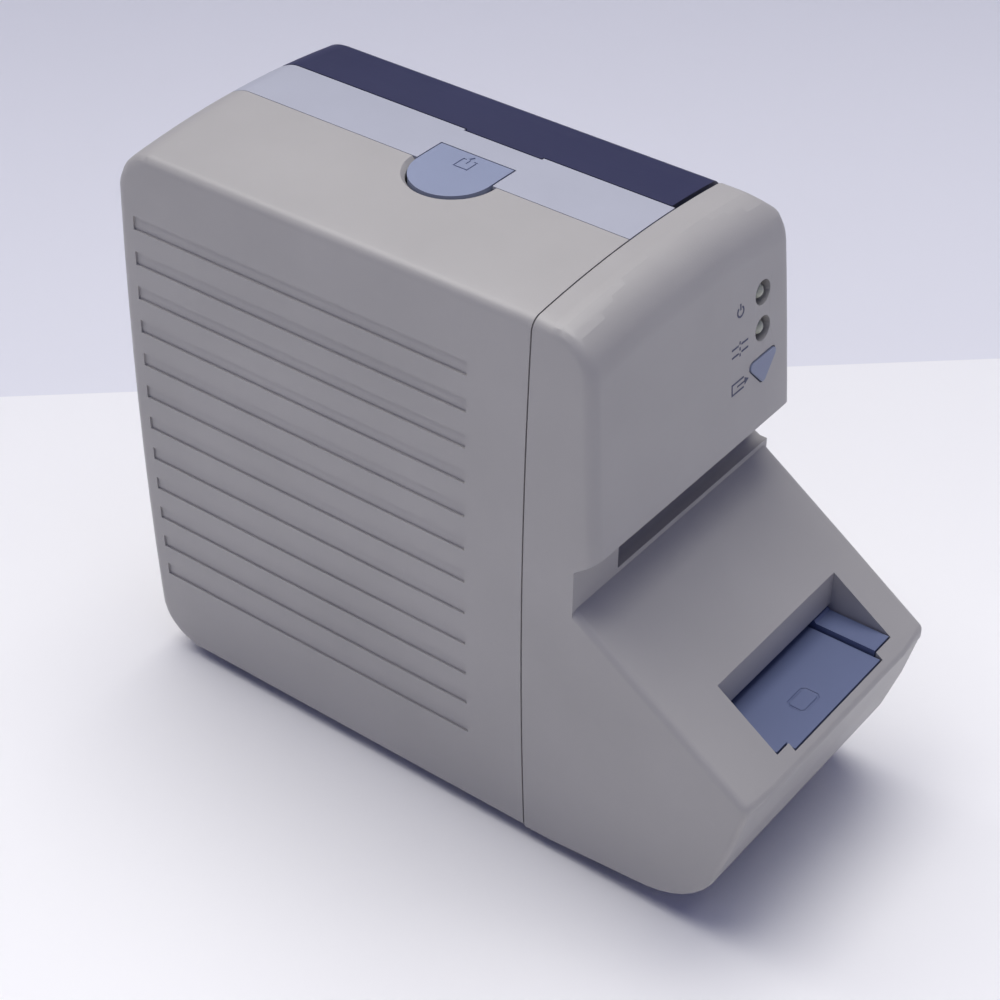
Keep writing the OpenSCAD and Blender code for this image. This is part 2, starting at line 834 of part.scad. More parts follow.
module feed_motor() {
    color(dark_steel) {
        difference() {
            union() {
                rod_x(plate_x1, 6, motor_c[0], motor_c[1], 8.8);
                rod_x(plate_x0 - 0.4, plate_x1 + eps, motor_c[0], motor_c[1], 3.5);
            }
            rod_x(-20, 5, motor_c[0], motor_c[1], 1 + fit);
        }
        rod_x(6 - eps, 7.2, motor_c[0], motor_c[1], 3);
    }
}

module motor_shaft() {
    color(steel) rod_x(plane_a0 - 0.3, 4.8, motor_c[0], motor_c[1], 1);
}

module platen_shaft() {
    color(steel) rod_x(plane_b0 - 0.2, 23.6, platen_c[0], platen_c[1], platen_shaft_r);
}

module platen_rubber() {
    color(black) difference() {
        rod_x(-6.4, 20.4, platen_c[0], platen_c[1], platen_r);
        bore_x(platen_c, platen_shaft_r);
    }
}

module platen_gear() {
    color(nylon) gear_x(plane_b0, plane_b1, platen_c, platen_teeth, platen_shaft_r, platen_phase);
}

// Side arm of the roller holder between two X positions
module holder_arm(x0, x1) {
    difference() {
        hull() {
            rod_x(x0, x1, holder_c[0], holder_c[1], 3);
            rod_x(x0, x1, platen_c[0], platen_c[1], 3.8);
        }
        bore_x(holder_c, shaft_r + fit);
        bore_x(platen_c, platen_shaft_r + fit);
    }
}

module roller_holder() {
    color(nylon) {
        holder_arm(-8.6, -7.2);
        holder_arm(21.2, 22.6);
        along_x(-8, 22) polygon([[6, 84.6], [8, 82.6], [13, 85.5], [11.5, 87.3]]);
    }
}

module holder_shaft() {
    color(steel) rod_x(plate_x0, 24.5, holder_c[0], holder_c[1], shaft_r);
}

// Aluminium post under the print head
module head_heatsink() {
    color(aluminium) {
        box([-6, -9, 50], [20, 1, 64.2]);
        box([-11.2, -8, 50], [-6, 0, 56]);
        for (z = [52, 55, 58, 61]) box([-5, 1, z], [19, 3, z + 1.2]);
    }
}

module thermal_head() {
    color(ceramic) {
        box([-5.5, -8.8, 64.2], [19.5, 0.8, 65.2]);
        along_x(-4, 18) polygon([[-6, 65.15], [-2, 65.15], [-3.2, 65.9], [-4.8, 65.9]]);
    }
}

// ---------- cutter ----------

module cutter_frame() {
    color(steel) difference() {
        union() {
            box([-26, cutter_y, 48], [24, cutter_y + 1, 80]);
            box([plate_x0, cutter_y, 80 - eps], [plate_x1, cutter_y + 1, 96]);
            box([plate_x0, cutter_y, 19], [plate_x1, cutter_y + 1, 48 + eps]);
            for (p = fixed_posts) rod_y(cutter_y + 0.9, -17, p[0], p[1], 1.6);
        }
        // window for the tape and the half-cut blade
        box([-9.5, -30, 60], [22, 0, 71.6]);
        rod_y(-30, 0, pivot_x, pivot_z, 1.2);
        rod_y(-30, 0, crank_x, pivot_z, 1.2);
    }
}

module fixed_blade() {
    color(steel) difference() {
        union() {
            box([-15, -17, tape_z + 0.35], [24, -16, 78]);
            box([-15, -17, 62.5], [-9.2, -16, tape_z + 0.4]);
        }
        rod_y(-30, 0, pivot_x, pivot_z, 1.2 + fit);
    }
}

module cutter_pins() {
    color(dark_steel) {
        rod_y(cutter_y, -13.6, pivot_x, pivot_z, 1.2);
        rod_y(cutter_y, cutter_y + 1.4, crank_x, pivot_z, 1.2);
    }
}

// Blade arm with its cutting edge on top and a slot for the crank pin in its tail
module blade_arm(y0, y1, edge) {
    slot = 0.95;
    t = cut_swing / 2;
    tail = 9.6;
    along_y(y0, y1) translate([pivot_x, pivot_z]) rotate(-cut_swing) difference() {
        polygon([
            [0, 2.6], [2.4, edge], [34, edge], [33.5, edge - 3], [3, edge - 5.2], [-1.5, -2.9],
            polar(tail, 180 + t) - polar(2.2, 90 + t), polar(tail, 180 + t) + polar(2.2, 90 + t),
            polar(2.6, 110 + t)
        ]);
        circle(r = 1.2 + fit, $fn = 48);
        rotate(t) translate([-8.6, -slot]) square([3.6, 2 * slot]);
    }
}

module moving_blade() {
    color(steel) blade_arm(-15.9, -14.9, 0.8);
}

module half_cut_blade() {
    color(dark_steel) blade_arm(-20.1, -19.1, 0.35);
}

module half_cut_anvil() {
    color(dark_steel) difference() {
        box([-9, -20.4, tape_z + 0.6], [21.5, -18.8, 71.4]);
        box([-20, -19.2, tape_z - 1], [30, -18, tape_z + 0.9]);
    }
}

// Crank wheel that drives both blades through one pin
module crank_gear() {
    color(nylon) difference() {
        union() {
            translate([crank_x, -12.2, pivot_z]) rotate([90, 0, 0]) linear_extrude(1.3)
                gear_outline(crank_teeth, 0.01);
            translate([crank_x, 0, pivot_z]) rotate([0, -30, 0])
                rod_y(-20.2, -13.4, crank_r, 0, 0.8);
        }
        rod_y(-13, -10, crank_x, pivot_z, 1.2 + fit);
    }
}

module cutter_motor() {
    color(dark_steel) difference() {
        union() {
            rod_y(-11, 2.4, crank_x, cutter_motor_z, 5);
            box([crank_x - 8, -11.6, 44], [-14.8, -10.9, 76]);
            rod_y(-12.9, -11.5, crank_x, pivot_z, 1.2);
        }
        rod_y(-12, 1.2, crank_x, cutter_motor_z, 0.75 + fit);
    }
}

module cutter_pinion() {
    color(brass) {
        translate([crank_x, -12.2, cutter_motor_z]) rotate([90, 0, 0]) linear_extrude(1.3)
            rotate(180 / cutter_teeth) gear_outline(cutter_teeth, 0.01);
        rod_y(-12.3, 1, crank_x, cutter_motor_z, 0.75);
    }
}

// ---------- indicators and feed button ----------

module indicator_board() {
    color(board_green) difference() {
        on_face(lamp_x, feed_z) translate([-9, -7, board_depth]) cube([13.5, 27, 1.5]);
        on_face(lamp_x, feed_z) for (y = [-5, 18]) translate([-7, y, board_depth - 1])
            cylinder(h = 4, r = 0.9, $fn = 32);
    }
}

module lamp(z) {
    on_face(lamp_x, z) {
        translate([0, 0, board_depth + 1.5]) cylinder(h = 1, r = 1.9, $fn = 32);
        translate([0, 0, board_depth + 2.4]) cylinder(h = 3.9, r = 1.5, $fn = 32);
        translate([0, 0, board_depth + 6.3]) sphere(r = 1.5, $fn = 32);
    }
}

module power_lamp() {
    color(lamp_green) lamp(lamp_z1);
}

module half_cut_lamp() {
    color(lamp_amber) lamp(lamp_z0);
}

module feed_switch() {
    color(black) on_face(lamp_x, feed_z) {
        translate([-3, -3, board_depth + 1.5]) cube([6, 6, 1.6]);
        translate([0, 0, board_depth + 3]) cylinder(h = 0.5, r = 1.4, $fn = 32);
    }
}

module feed_button() {
    color(insert_blue) on_face(lamp_x, feed_z) {
        translate([0, 0, -2.8]) linear_extrude(3) feed_outline(0);
        translate([0, 0, -3.5]) linear_extrude(0.9) feed_outline(0.9);
    }
}

// ---------- corner trimmer ----------

module trimmer_tray() {
    color(insert_blue) difference() {
        along_x(pocket_x0 + 0.25, pocket_x1 - 0.25) polygon([
            [pocket_front + 0.3, rail_z], [pocket_front + 0.3, 34.9], [-63.6, 29.6],
            [-38, 29.6], [-38, 39.3], [trim_y, 39.3], [trim_y - 0.5, rail_z]
        ]);
        box([press_x0, -80, 31], [press_x1, -39.5, 60]);
        rod_x(pocket_x0 + 1.2, pocket_x1 - 1.2, trim_y, trim_z, 0.9);
    }
}

module trimmer_plate() {
    color(insert_blue) difference() {
        along_x(press_x0 + 0.35, press_x1 - 0.35) polygon([
            [press_front, 36.4], [press_front, plate_z], [-41.6, plate_z], [-41.6, 35.9],
            [-50, 35.4], [-52, 32.8], [-56, 32.8], [-58, 35.2], [-66, 35.7]
        ]);
        rod_x(-30, 30, trim_y, trim_z, 0.9 + fit);
        box([-1, trim_y - 2.4, 30], [4, trim_y + 2.4, 36.2]);
        translate([-1.5, -62.9, plate_z - 0.2]) plate_mark();
    }
}

// Corners of a w by h rectangle whose corners are cut off by c
function cut_rect(w, h, c) = [
    [-w / 2, c - h / 2], [c - w / 2, -h / 2], [w / 2 - c, -h / 2], [w / 2, c - h / 2],
    [w / 2, h / 2 - c], [w / 2 - c, h / 2], [c - w / 2, h / 2], [-w / 2, h / 2 - c]
];

// Plain mark in the press plate: a label outline with trimmed corners
module plate_mark() {
    linear_extrude(1) difference() {
        polygon(cut_rect(6, 4, 0.7));
        polygon(cut_rect(5.2, 3.2, 0.5));
    }
}

module trimmer_pin() {
    color(steel) rod_x(pocket_x0 + 1.3, pocket_x1 - 1.3, trim_y, trim_z, 0.9);
}

module trimmer_punches() {
    color(steel) for (x = punch_x) translate([x, punch_y, plate_z]) cylinder(h = 1.2, r = punch_r, $fn = 32);
}

module trimmer_die() {
    color(steel) difference() {
        box([pocket_x0 + 0.5, -50, 39.3], [pocket_x1 - 0.5, -38.5, 41.3]);
        for (x = punch_x) translate([x, punch_y - 0.3, 38]) cylinder(h = 2.6, r = punch_r + 0.5, $fn = 32);
        box([-30, -49, 38], [pocket_x0 + 0.6, -45, 50]);
    }
}

// Coiled torsion spring around the trimmer's pin
module trimmer_spring() {
    color(steel) for (x = [-0.3 : 0.75 : 3.3]) translate([x, trim_y, trim_z]) rotate([0, 90, 0])
        rotate_extrude($fn = 48) translate([1.5, 0]) circle(r = 0.3, $fn = 12);
}

// ---------- electronics ----------

module main_board() {
    color(board_green) difference() {
        box([board_x0, 13, 9], [board_x1, 67, 59]);
        for (p = board_holes) rod_x(-30, 0, p[0], p[1], 0.95);
    }
}

module board_parts() {
    color(black) {
        box([board_x1, 26, 24], [board_x1 + 1.4, 40, 38]);
        box([board_x1, 46, 22], [board_x1 + 1.2, 54, 30]);
        box([board_x1, 24, 44], [board_x1 + 1.6, 36, 49]);
        rod_x(board_x1, board_x1 + 5, 54, 52, 3);
        rod_x(board_x1, board_x1 + 5, 62, 47, 2.4);
        box([board_x1, 40, 52], [board_x1 + 4.5, 48, 56]);
    }
}

module usb_socket() {
    color(steel) difference() {
        box([usb_x0, 55, usb_z0], [usb_x0 + usb_w, 70.6, usb_z0 + usb_h]);
        box([usb_x0 + 0.7, 58, usb_z0 + 0.7], [usb_x0 + usb_w - 0.7, 80, usb_z0 + usb_h - 0.7]);
    }
    color(black) box([usb_x0 + 3.6, 57.9, usb_z0 + 3.4], [usb_x0 + usb_w - 3.6, 68.5, usb_z0 + usb_h - 3.4]);
}

module dc_jack() {
    color(black) difference() {
        union() {
            box([board_x1, 56, jack_z - 4.5], [jack_x + 4.3, 68.9, jack_z + 4.5]);
            rod_y(68.8, 70.6, jack_x, jack_z, 4);
        }
        rod_y(60, 80, jack_x, jack_z, 2.8);
    }
    color(steel) rod_y(59.9, 69.5, jack_x, jack_z, 1);
}

// Micro switch behind the seam that feels the closed door
module door_switch() {
    color(black) box([plate_x1, 40, 72.2], [plate_x1 + 6, 52, 78]);
}

module cartridge_sensor() {
    color(black) difference() {
        box([plate_x0 - 6, -7.5, 27], [plate_x0, -0.5, 45]);
        for (p = sensor_spots) rod_x(plate_x0 - 4, 0, p[0], p[1], 1.2 + fit);
    }
}

module sensor_pins() {
    color(nylon) for (p = sensor_spots) rod_x(plate_x0 - 1.8, floor_x1 + 2.2, p[0], p[1], 1.2);
}

rear_housing();
front_housing();
bay_frame();
cartridge_cup();
door();
hinge_pins();
release_button();
release_spring();
rubber_feet();
housing_screws();
board_screws();
chassis_plate();
gear_posts();
spindle_bearing();
ribbon_spindle();
ribbon_gear();
link_gear();
idler_gear();
reduction_gear();
motor_pinion();
motor_shaft();
feed_motor();
platen_shaft();
platen_rubber();
platen_gear();
roller_holder();
holder_shaft();
head_heatsink();
thermal_head();
cutter_frame();
fixed_blade();
cutter_pins();
moving_blade();
half_cut_blade();
half_cut_anvil();
crank_gear();
cutter_motor();
cutter_pinion();
indicator_board();
power_lamp();
half_cut_lamp();
feed_switch();
feed_button();
trimmer_tray();
trimmer_plate();
trimmer_pin();
trimmer_punches();
trimmer_die();
trimmer_spring();
main_board();
board_parts();
usb_socket();
dc_jack();
door_switch();
cartridge_sensor();
sensor_pins();
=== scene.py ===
import json
import math

import bmesh
import bpy
from mathutils import Matrix, Vector


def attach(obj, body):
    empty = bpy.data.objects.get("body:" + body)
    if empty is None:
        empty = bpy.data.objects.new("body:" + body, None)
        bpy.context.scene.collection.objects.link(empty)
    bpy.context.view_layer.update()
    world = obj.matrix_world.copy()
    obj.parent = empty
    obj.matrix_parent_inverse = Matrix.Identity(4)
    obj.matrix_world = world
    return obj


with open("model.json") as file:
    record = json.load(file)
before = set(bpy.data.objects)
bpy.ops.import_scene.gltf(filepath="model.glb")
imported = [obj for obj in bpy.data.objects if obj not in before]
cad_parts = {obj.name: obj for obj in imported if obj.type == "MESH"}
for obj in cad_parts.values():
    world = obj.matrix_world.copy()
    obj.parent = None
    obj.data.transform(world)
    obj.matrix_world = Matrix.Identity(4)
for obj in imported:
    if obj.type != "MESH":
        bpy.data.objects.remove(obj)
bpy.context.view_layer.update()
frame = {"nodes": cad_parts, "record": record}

MM = 0.001

# ---------------------------------------------------------------- camera


def make_camera():
    """Stands to the left, in front and above, and looks down at the body."""
    cam = bpy.data.cameras.new("camera")
    cam.lens_unit = "MILLIMETERS"
    cam.sensor_fit = "HORIZONTAL"
    cam.sensor_width = 36.0
    cam.lens = 84.08
    cam.clip_start = 0.01
    cam.clip_end = 20.0
    cam.dof.use_dof = False
    obj = bpy.data.objects.new("camera", cam)
    bpy.context.scene.collection.objects.link(obj)
    place = Vector((-0.2801, -0.2057, 0.3190))
    target = Vector((-0.0373, -0.0220, 0.08506))
    look = (target - place).normalized()
    right = look.cross(Vector((0, 0, 1))).normalized()
    up = right.cross(look).normalized()
    roll = math.radians(0.354)
    r2 = right * math.cos(roll) + up * math.sin(roll)
    u2 = up * math.cos(roll) - right * math.sin(roll)
    obj.matrix_world = Matrix((
        (r2.x, u2.x, -look.x, place.x),
        (r2.y, u2.y, -look.y, place.y),
        (r2.z, u2.z, -look.z, place.z),
        (0, 0, 0, 1),
    ))
    bpy.context.scene.camera = obj


make_camera()

# ---------------------------------------------------------------- materials


def srgb(r, g, b):
    """Linear colour from 0..255 values."""
    def one(c):
        c /= 255.0
        return c / 12.92 if c <= 0.04045 else ((c + 0.055) / 1.055) ** 2.4
    return (one(r), one(g), one(b), 1.0)


# sockets of the mix node when it mixes colours
MIX_A, MIX_B, MIX_RESULT = 6, 7, 2


class Nodes:
    """Small helper that adds and joins shader nodes."""

    def __init__(self, name):
        self.mat = bpy.data.materials.new(name)
        self.mat.use_nodes = True
        self.tree = self.mat.node_tree
        self.tree.nodes.clear()
        self.out = self.add("ShaderNodeOutputMaterial")
        self.bsdf = self.add("ShaderNodeBsdfPrincipled")
        self.join(self.bsdf, "BSDF", self.out, "Surface")
        self.coord = self.add("ShaderNodeTexCoord")

    def add(self, kind, **values):
        n = self.tree.nodes.new(kind)
        for k, v in values.items():
            if hasattr(n, k):
                setattr(n, k, v)
            else:
                n.inputs[k].default_value = v
        return n

    def join(self, a, out, b, inp):
        self.tree.links.new(a.outputs[out], b.inputs[inp])

    def noise(self, scale, detail=3.0, rough=0.5, stretch=None):
        n = self.add("ShaderNodeTexNoise")
        n.inputs["Scale"].default_value = scale
        n.inputs["Detail"].default_value = detail
        n.inputs["Roughness"].default_value = rough
        if stretch:
            mp = self.add("ShaderNodeMapping")
            mp.inputs["Scale"].default_value = stretch
            self.join(self.coord, "Object", mp, "Vector")
            self.join(mp, "Vector", n, "Vector")
        else:
            self.join(self.coord, "Object", n, "Vector")
        return n

    def ramp(self, source, out, lo, hi, a, b):
        """Maps source from lo..hi to a..b."""
        n = self.add("ShaderNodeMapRange")
        n.inputs["From Min"].default_value = lo
        n.inputs["From Max"].default_value = hi
        n.inputs["To Min"].default_value = a
        n.inputs["To Max"].default_value = b
        self.join(source, out, n, "Value")
        return n

    def mix(self, factor, a, b):
        """Mixes colour a, or the result of mix node a, with colour b by a value node."""
        n = self.add("ShaderNodeMix", data_type="RGBA")
        if isinstance(a, bpy.types.Node):
            self.tree.links.new(a.outputs[MIX_RESULT], n.inputs[MIX_A])
        else:
            n.inputs[MIX_A].default_value = a
        n.inputs[MIX_B].default_value = b
        self.tree.links.new(factor.outputs[0], n.inputs[0])
        return n

    def paint(self, mixed):
        """Uses a mix node's result as the surface colour."""
        self.tree.links.new(mixed.outputs[MIX_RESULT], self.bsdf.inputs["Base Color"])

    def bump(self, heights):
        """Chains bump nodes from (node, output, strength, distance)."""
        last = None
        for node, out, strength, distance in heights:
            b = self.add("ShaderNodeBump")
            b.inputs["Strength"].default_value = strength
            b.inputs["Distance"].default_value = distance
            self.join(node, out, b, "Height")
            if last:
                self.join(last, "Normal", b, "Normal")
            last = b
        self.join(last, "Normal", self.bsdf, "Normal")


def shade(c, k):
    """Colour c made k times as bright."""
    return (min(c[0] * k, 1), min(c[1] * k, 1), min(c[2] * k, 1), 1.0)


def moulded(name, colour, rough, grain=2600.0, depth=0.12, mottle=0.05):
    """Moulded plastic: fine spark-eroded grain, slight colour drift, faint handling smears."""
    n = Nodes(name)
    drift = n.noise(28.0, 4.0)
    fac = n.ramp(drift, "Fac", 0.3, 0.7, 0.0, 1.0)
    col = n.mix(fac, shade(colour, 1 - mottle), shade(colour, 1 + mottle))
    dust = n.noise(420.0, 6.0, 0.7)
    dfac = n.ramp(dust, "Fac", 0.62, 0.8, 0.0, 0.35)
    n.paint(n.mix(dfac, col, shade(colour, 1.12)))
    smear = n.noise(60.0, 5.0, 0.6, (1.0, 0.4, 1.6))
    r = n.ramp(smear, "Fac", 0.3, 0.75, rough - 0.05, rough + 0.07)
    n.join(r, "Result", n.bsdf, "Roughness")
    cell = n.add("ShaderNodeTexVoronoi")
    cell.inputs["Scale"].default_value = grain
    n.join(n.coord, "Object", cell, "Vector")
    fine = n.noise(grain * 1.7, 2.0)
    n.bump([(cell, "Distance", depth, 0.00004), (fine, "Fac", depth, 0.00003)])
    n.bsdf.inputs["Specular IOR Level"].default_value = 0.4
    return n.mat


def metal(name, colour, rough=0.32, brushed=(1.0, 60.0, 1.0), depth=0.15):
    """Metal with drawn or ground marks."""
    n = Nodes(name)
    n.bsdf.inputs["Metallic"].default_value = 1.0
    marks = n.noise(90.0, 6.0, 0.65, brushed)
    fac = n.ramp(marks, "Fac", 0.3, 0.7, 0.0, 1.0)
    col = n.mix(fac, shade(colour, 0.86), shade(colour, 1.08))
    n.paint(col)
    r = n.ramp(marks, "Fac", 0.3, 0.7, rough - 0.08, rough + 0.1)
    n.join(r, "Result", n.bsdf, "Roughness")
    n.bump([(marks, "Fac", depth, 0.00003)])
    return n.mat


def rubber(name, colour):
    """Matt rubber, worn lighter in patches."""
    n = Nodes(name)
    fine = n.noise(1800.0, 4.0, 0.7)
    wear = n.noise(140.0, 4.0)
    fac = n.ramp(wear, "Fac", 0.35, 0.75, 0.0, 1.0)
    col = n.mix(fac, colour, shade(colour, 2.2))
    n.paint(col)
    r = n.ramp(fine, "Fac", 0.3, 0.7, 0.7, 0.9)
    n.join(r, "Result", n.bsdf, "Roughness")
    n.bump([(fine, "Fac", 0.3, 0.00005)])
    return n.mat


def circuit(name):
    """Green solder mask with copper runs under it."""
    n = Nodes(name)
    mp = n.add("ShaderNodeMapping")
    mp.inputs["Rotation"].default_value = (0, math.radians(90), 0)
    n.join(n.coord, "Object", mp, "Vector")
    runs = n.add("ShaderNodeTexBrick")
    runs.inputs["Scale"].default_value = 160.0
    runs.inputs["Mortar Size"].default_value = 0.03
    runs.inputs["Color1"].default_value = (0.012, 0.10, 0.045, 1)
    runs.inputs["Color2"].default_value = (0.018, 0.13, 0.06, 1)
    runs.inputs["Mortar"].default_value = (0.05, 0.22, 0.09, 1)
    n.join(mp, "Vector", runs, "Vector")
    n.join(runs, "Color", n.bsdf, "Base Color")
    v = n.noise(600.0, 3.0)
    r = n.ramp(v, "Fac", 0.3, 0.7, 0.22, 0.36)
    n.join(r, "Result", n.bsdf, "Roughness")
    n.bump([(runs, "Fac", 0.25, 0.00004)])
    return n.mat


def lens(name, colour):
    """Clear lamp body with a milky core."""
    n = Nodes(name)
    v = n.noise(500.0, 3.0)
    fac = n.ramp(v, "Fac", 0.35, 0.7, 0.0, 1.0)
    col = n.mix(fac, colour, shade(colour, 1.35))
    n.paint(col)
    r = n.ramp(v, "Fac", 0.3, 0.7, 0.08, 0.16)
    n.join(r, "Result", n.bsdf, "Roughness")
    n.bsdf.inputs["Transmission Weight"].default_value = 0.35
    n.bump([(v, "Fac", 0.05, 0.00002)])
    return n.mat


BEIGE = srgb(176, 173, 169)
GREY = srgb(176, 178, 188)
NAVY = srgb(49, 51, 79)
SLATE = srgb(141, 149, 172)
INSERT = srgb(101, 111, 143)

LOOKS = {
    "shell_beige": moulded("shell_beige", BEIGE, 0.36),
    "frame_grey": moulded("frame_grey", GREY, 0.46),
    "door_navy": moulded("door_navy", NAVY, 0.36, mottle=0.08),
    "button_blue": moulded("button_blue", SLATE, 0.44),
    "insert_blue": moulded("insert_blue", INSERT, 0.42, mottle=0.07),
    "rubber": rubber("rubber", (0.018, 0.018, 0.02, 1)),
    "nylon": moulded("nylon", srgb(226, 222, 208), 0.5, 1500.0, 0.08),
    "brass": metal("brass", (0.62, 0.43, 0.17, 1), 0.3, (1, 1, 1)),
    "circuit_board": circuit("circuit_board"),
    "black_plastic": moulded("black_plastic", srgb(34, 34, 38), 0.4, 2000.0, 0.12, 0.12),
    "lamp": lens("lamp", srgb(205, 208, 188)),
    "ceramic": moulded("ceramic", srgb(232, 228, 218), 0.18, 900.0, 0.05),
    "aluminium": metal("aluminium", (0.72, 0.73, 0.75, 1), 0.36, (60, 1, 1)),
    "steel": metal("steel", (0.56, 0.57, 0.59, 1), 0.34),
}

SLOTS = {p["node"]: p["material_slot"] for p in frame["record"]["subparts"]}

# ---------------------------------------------------------------- smoothing of the CAD nodes


# edges that bend more than this stay sharp, and more than the second are rounded off
SHARP_ANGLE = math.radians(32)
BEVEL_ANGLE = math.radians(38)
WELD_DISTANCE = 0.002 * MM


def smooth_group():
    """Node group that shades smooth and keeps edges sharp beyond SHARP_ANGLE."""
    g = bpy.data.node_groups.new("smooth_by_angle", "GeometryNodeTree")
    g.interface.new_socket("Geometry", in_out="INPUT", socket_type="NodeSocketGeometry")
    g.interface.new_socket("Geometry", in_out="OUTPUT", socket_type="NodeSocketGeometry")
    given = g.nodes.new("NodeGroupInput")
    result = g.nodes.new("NodeGroupOutput")
    faces = g.nodes.new("GeometryNodeSetShadeSmooth")
    faces.domain = "FACE"
    edges = g.nodes.new("GeometryNodeSetShadeSmooth")
    edges.domain = "EDGE"
    edges.inputs["Shade Smooth"].default_value = False
    angle = g.nodes.new("GeometryNodeInputMeshEdgeAngle")
    over = g.nodes.new("FunctionNodeCompare")
    over.data_type = "FLOAT"
    over.operation = "GREATER_THAN"
    over.inputs[1].default_value = SHARP_ANGLE
    g.links.new(given.outputs[0], faces.inputs["Geometry"])
    g.links.new(faces.outputs[0], edges.inputs["Geometry"])
    g.links.new(angle.outputs["Unsigned Angle"], over.inputs[0])
    g.links.new(over.outputs[0], edges.inputs["Selection"])
    g.links.new(edges.outputs[0], result.inputs[0])
    return g


SMOOTH = smooth_group()


def finish_surface(obj, bevel_mm):
    """Rounds the edges by bevel_mm, where given, and smooths the shading."""
    weld = obj.modifiers.new("weld", "WELD")
    weld.merge_threshold = WELD_DISTANCE
    if bevel_mm:
        bev = obj.modifiers.new("edge", "BEVEL")
        bev.width = bevel_mm * MM
        bev.segments = 2
        bev.limit_method = "ANGLE"
        bev.angle_limit = BEVEL_ANGLE
        bev.use_clamp_overlap = True
        bev.harden_normals = False
    sm = obj.modifiers.new("smooth", "NODES")
    sm.node_group = SMOOTH
    wn = obj.modifiers.new("normals", "WEIGHTED_NORMAL")
    wn.keep_sharp = True
    wn.weight = 80


# width of the rounded edges by material, in mm
BEVELS = {"shell_beige": 0.22, "frame_grey": 0.2, "door_navy": 0.2, "button_blue": 0.3, "insert_blue": 0.2,
          "black_plastic": 0.12, "nylon": 0.06, "steel": 0.05, "aluminium": 0.08}

for name, obj in frame["nodes"].items():
    slot_name = SLOTS[name]
    obj.data.materials.clear()
    obj.data.materials.append(LOOKS[slot_name])
    finish_surface(obj, BEVELS.get(slot_name, 0))

# ---------------------------------------------------------------- printed marks on the face

# the flat face from its lower to its upper edge, as Y and Z in mm, and its own directions
FACE_LOW = (-37.3, 74.4)
FACE_HIGH = (-33.95, 118.0)
FACE_UP = Vector((0, FACE_HIGH[0] - FACE_LOW[0], FACE_HIGH[1] - FACE_LOW[1])).normalized()
FACE_OUT = Vector((0, -FACE_UP.z, FACE_UP.y))
# how far the ink reaches into and stands out of the face, in mm
INK_DEPTH = 0.01
INK_HEIGHT = 0.012


def ink(name, colour):
    """Pad-printed ink: slightly uneven cover and gloss."""
    n = Nodes(name)
    cover = n.noise(1500.0, 4.0, 0.6)
    fac = n.ramp(cover, "Fac", 0.35, 0.7, 0.0, 1.0)
    col = n.mix(fac, shade(colour, 0.88), shade(colour, 1.15))
    n.paint(col)
    r = n.ramp(cover, "Fac", 0.3, 0.7, 0.42, 0.6)
    n.join(r, "Result", n.bsdf, "Roughness")
    n.bump([(cover, "Fac", 0.1, 0.00001)])
    return n.mat


INK = ink("ink_grey_blue", srgb(66, 70, 100))


def face_point(x, z, u, v, w):
    """Point on the face: u to the right and v up from (x, z), w outwards, all in mm."""
    t = (z - FACE_LOW[1]) / (FACE_HIGH[1] - FACE_LOW[1])
    base = Vector((x, FACE_LOW[0] + t * (FACE_HIGH[0] - FACE_LOW[0]), z))
    return (base + Vector((u, 0, 0)) + FACE_UP * v + FACE_OUT * w) * MM


def printed(name, x, z, outlines):
    """One mark made of thin flat prisms that lie on the face."""
    bm = bmesh.new()
    for outline in outlines:
        low = [bm.verts.new(face_point(x, z, u, v, -INK_DEPTH)) for u, v in outline]
        high = [bm.verts.new(face_point(x, z, u, v, INK_HEIGHT)) for u, v in outline]
        bm.faces.new(low)
        bm.faces.new(list(reversed(high)))
        for i in range(len(outline)):
            j = (i + 1) % len(outline)
            bm.faces.new((low[i], high[i], high[j], low[j]))
    bmesh.ops.recalc_face_normals(bm, faces=bm.faces)
    me = bpy.data.meshes.new(name)
    bm.to_mesh(me)
    bm.free()
    me.materials.append(INK)
    obj = bpy.data.objects.new(name, me)
    bpy.context.scene.collection.objects.link(obj)
    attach(obj, "body")


def bar(u0, v0, u1, v1):
    """Outline of a rectangle between two corners."""
    return [(u0, v0), (u1, v0), (u1, v1), (u0, v1)]


def arc_band(radius, width, a0, a1, steps=20):
    """Outline of an arc around the mark's middle, from angle a0 to a1 in degrees."""
    angles = [math.radians(a0 + (a1 - a0) * i / steps) for i in range(steps + 1)]
    outer = [(radius * math.cos(a), radius * math.sin(a)) for a in angles]
    inner = [((radius - width) * math.cos(a), (radius - width) * math.sin(a)) for a in reversed(angles)]
    return outer + inner


# power: an open ring with a bar; half cut: a split tape and its cut line; feed: a tape with an arrow
printed("mark_power", 13.2, 101.2, [arc_band(1.15, 0.36, 125, 415), bar(-0.18, 0.3, 0.18, 1.55)])
printed("mark_half_cut", 13.0, 93.9, [
    bar(-2.6, -0.95, -0.45, -0.6), bar(0.45, -0.95, 2.6, -0.6),
    bar(-2.6, 0.6, -0.45, 0.95), bar(0.45, 0.6, 2.6, 0.95),
    bar(-0.17, -1.5, 0.17, -0.9), bar(-0.17, -0.3, 0.17, 0.3), bar(-0.17, 0.9, 0.17, 1.5),
])
printed("mark_feed", 13.0, 86.6, [
    bar(-2.7, 0.85, 1.2, 1.2), bar(-2.7, -1.2, 1.2, -0.85), bar(-2.7, -0.85, -2.35, 0.85),
    bar(-0.9, -0.16, 1.7, 0.16), [(1.5, -0.75), (2.8, 0), (1.5, 0.75)],
])

# ---------------------------------------------------------------- room and light


def mesh_object(name, verts, faces, material):
    me = bpy.data.meshes.new(name)
    me.from_pydata(verts, [], faces)
    me.update()
    me.materials.append(material)
    obj = bpy.data.objects.new(name, me)
    bpy.context.scene.collection.objects.link(obj)
    return obj


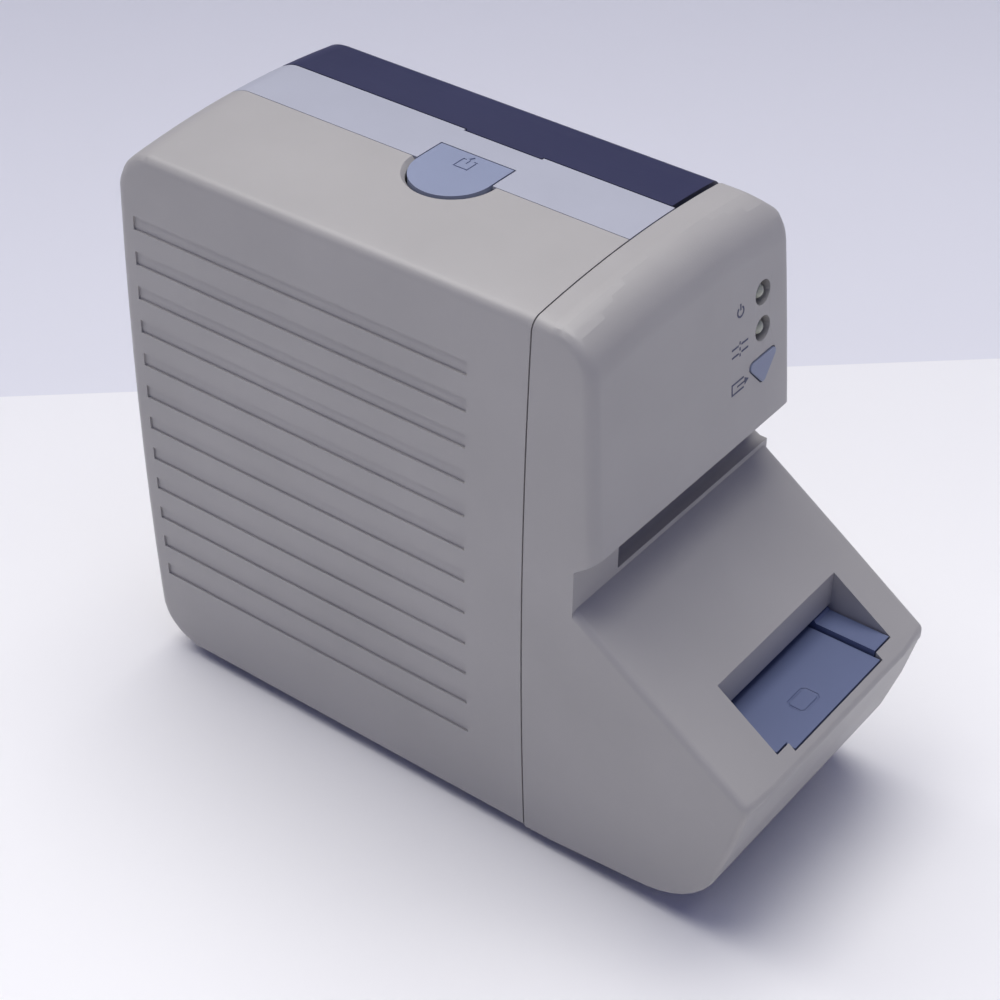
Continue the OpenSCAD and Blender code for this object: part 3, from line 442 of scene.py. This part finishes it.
def paper(name, colour):
    """Plain matt board for the table and the room."""
    n = Nodes(name)
    v = n.noise(6.0, 5.0)
    fac = n.ramp(v, "Fac", 0.3, 0.7, 0.0, 1.0)
    col = n.mix(fac, shade(colour, 0.985), colour)
    n.paint(col)
    n.bsdf.inputs["Roughness"].default_value = 0.6
    n.bump([(n.noise(300.0, 4.0), "Fac", 0.05, 0.0001)])
    return n.mat


def room():
    """Table, backdrop sheet and back wall, none of them part of the object."""
    s = 3.0
    # the table ends in a straight edge behind the object; a slightly darker sheet carries on from it
    c, d = Vector((0.0907, 0.0726, 0)), Vector((0.664, -0.748, 0)) * s
    near, far = Vector((-0.748, -0.664, 0)) * s, Vector((0.748, 0.664, 0)) * s
    face = [(0, 1, 2, 3)]
    floor = mesh_object("floor", [c - d, c - d + near, c + d + near, c + d], face,
                        paper("floor", srgb(250, 249, 247)))
    sheet = mesh_object("sheet", [c + d, c + d + far, c - d + far, c - d], face,
                        paper("sheet", srgb(233, 233, 238)))
    # a low wall closes the room at the back
    c, top = Vector((0.40, 0.335, 0)), Vector((0, 0, 0.8))
    wall = mesh_object("wall", [c - d, c + d, c + d + top, c - d + top], face,
                       paper("wall", srgb(166, 166, 186)))


def area(name, place, target, size, energy, colour):
    """Rectangular lamp at place, in metres, that faces target."""
    light = bpy.data.lights.new(name, "AREA")
    light.shape = "RECTANGLE"
    light.size = size[0]
    light.size_y = size[1]
    light.energy = energy
    light.color = colour
    obj = bpy.data.objects.new(name, light)
    bpy.context.scene.collection.objects.link(obj)
    obj.location = place
    obj.rotation_euler = (Vector(target) - Vector(place)).to_track_quat("-Z", "Y").to_euler()


room()
area("key", (0.55, 1.18, 3.6), (0.0, 0.0, 0.0), (4.4, 4.0), 200.0, (1.0, 0.985, 0.95))
area("over", (0.2, -0.9, 3.4), (0.0, 0.0, 0.0), (2.4, 2.0), 16.0, (0.97, 0.98, 1.0))
area("fill", (-2.0, -0.6, 1.3), (0, 0, 0.06), (1.6, 1.4), 0.25, (0.4, 0.45, 1.0))

bpy.context.scene.view_settings.view_transform = "Standard"
world = bpy.data.worlds.new("world")
bpy.context.scene.world = world
world.use_nodes = True
world.node_tree.nodes["Background"].inputs[0].default_value = (0.30, 0.36, 1.0, 1)
world.node_tree.nodes["Background"].inputs[1].default_value = 0.19
